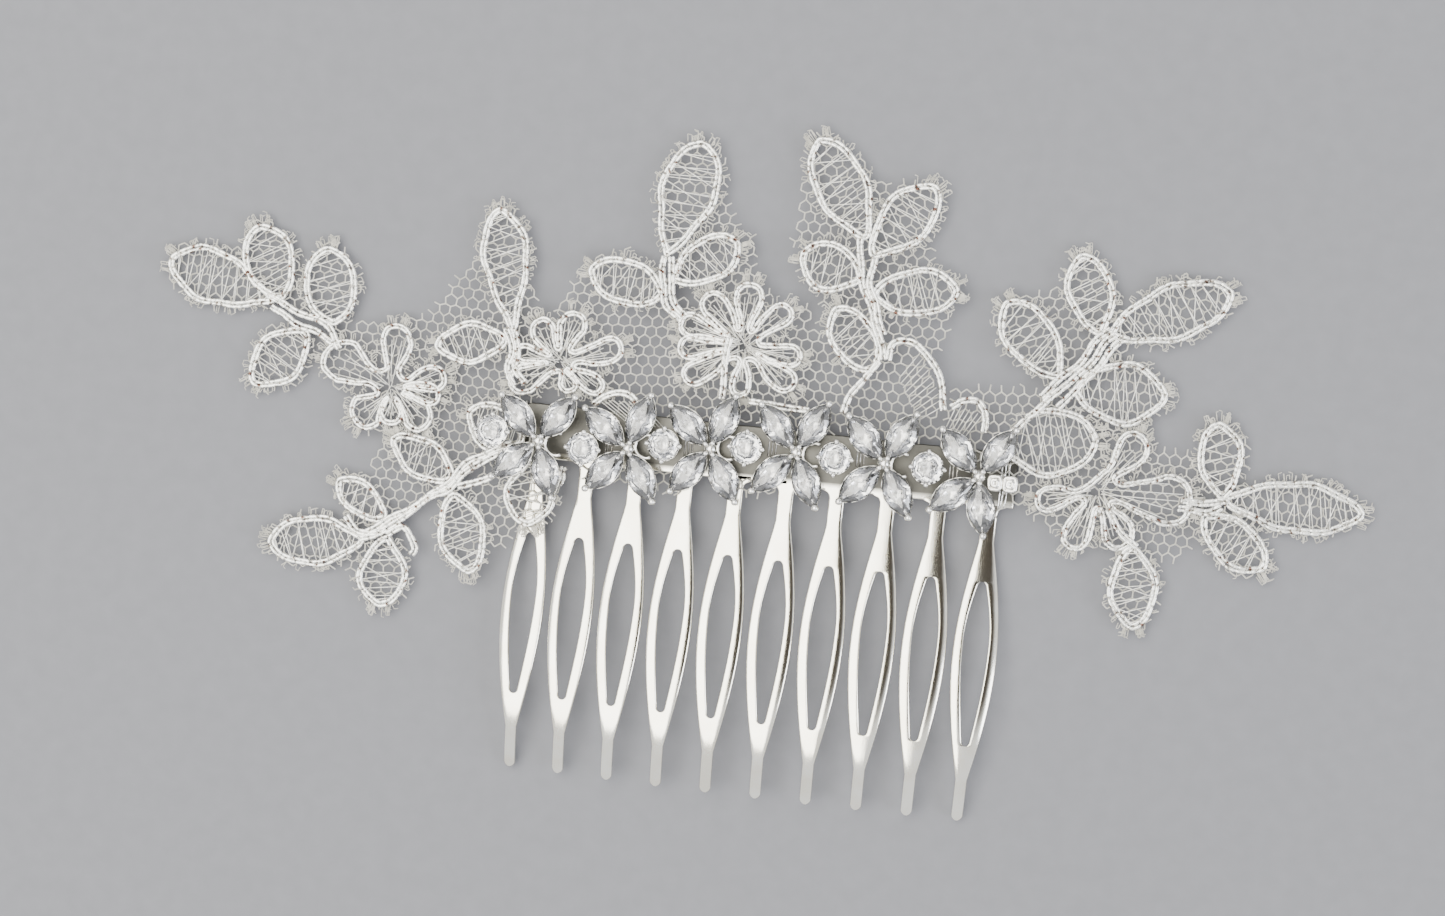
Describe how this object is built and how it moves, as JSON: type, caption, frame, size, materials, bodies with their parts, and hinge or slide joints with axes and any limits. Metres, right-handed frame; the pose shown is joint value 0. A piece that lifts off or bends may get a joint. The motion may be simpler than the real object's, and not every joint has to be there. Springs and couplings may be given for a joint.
{
  "type": "hair comb",
  "caption": "Curved metal hair comb with slotted tines, a strip of prong-set clear crystals wired along its bar, and a corded lace spray of leaves and flowers behind it.",
  "frame": {"origin": "middle of the bar's flat back face, between the two middle tines", "axes": "+X along the bar, +Y from the tines' tips up through the bar to the lace, +Z out of the decorated face"},
  "size_m": [0.1323, 0.0717, 0.005],
  "materials": {
    "comb_metal": "polished",
    "setting_metal": "bright cast, small prongs",
    "crystal": "cut and polished",
    "foil_cord": "metallic foil-wrapped couching cord",
    "tulle": "open hexagonal net"
  },
  "bodies": {
    "root": {"comb": "comb_metal", "flower_setting_1": "setting_metal", "flower_setting_2": "setting_metal", "flower_setting_3": "setting_metal", "flower_setting_4": "setting_metal", "flower_setting_5": "setting_metal", "flower_setting_6": "setting_metal", "marquise_1_upper_left": "crystal", "marquise_1_upper_right": "crystal", "marquise_1_lower_left": "crystal", "marquise_1_lower_right": "crystal", "marquise_2_upper_left": "crystal", "marquise_2_upper_right": "crystal", "marquise_2_lower_left": "crystal", "marquise_2_lower_right": "crystal", "marquise_3_upper_left": "crystal", "marquise_3_upper_right": "crystal", "marquise_3_lower_left": "crystal", "marquise_3_lower_right": "crystal", "marquise_4_upper_left": "crystal", "marquise_4_upper_right": "crystal", "marquise_4_lower_left": "crystal", "marquise_4_lower_right": "crystal", "marquise_5_upper_left": "crystal", "marquise_5_upper_right": "crystal", "marquise_5_lower_left": "crystal", "marquise_5_lower_right": "crystal", "marquise_6_upper_left": "crystal", "marquise_6_upper_right": "crystal", "marquise_6_lower_left": "crystal", "marquise_6_lower_right": "crystal", "round_setting_1": "setting_metal", "round_setting_2": "setting_metal", "round_setting_3": "setting_metal", "round_setting_4": "setting_metal", "round_setting_5": "setting_metal", "round_setting_6": "setting_metal", "round_stone_1": "crystal", "round_stone_2": "crystal", "round_stone_3": "crystal", "round_stone_4": "crystal", "round_stone_5": "crystal", "round_stone_6": "crystal", "link_1": "setting_metal", "link_2": "setting_metal", "link_3": "setting_metal", "link_4": "setting_metal", "link_5": "setting_metal", "end_link": "setting_metal", "left_flower_spray": "foil_cord", "left_lower_spray": "foil_cord", "tall_leaf_spray": "foil_cord", "centre_flower_spray": "foil_cord", "centre_leaf_spray": "foil_cord", "right_upper_spray": "foil_cord", "right_flower_spray": "foil_cord", "net_left": "tulle", "net_mid_left": "tulle", "net_mid_right": "tulle", "net_right": "tulle"}
  },
  "joints": []
}
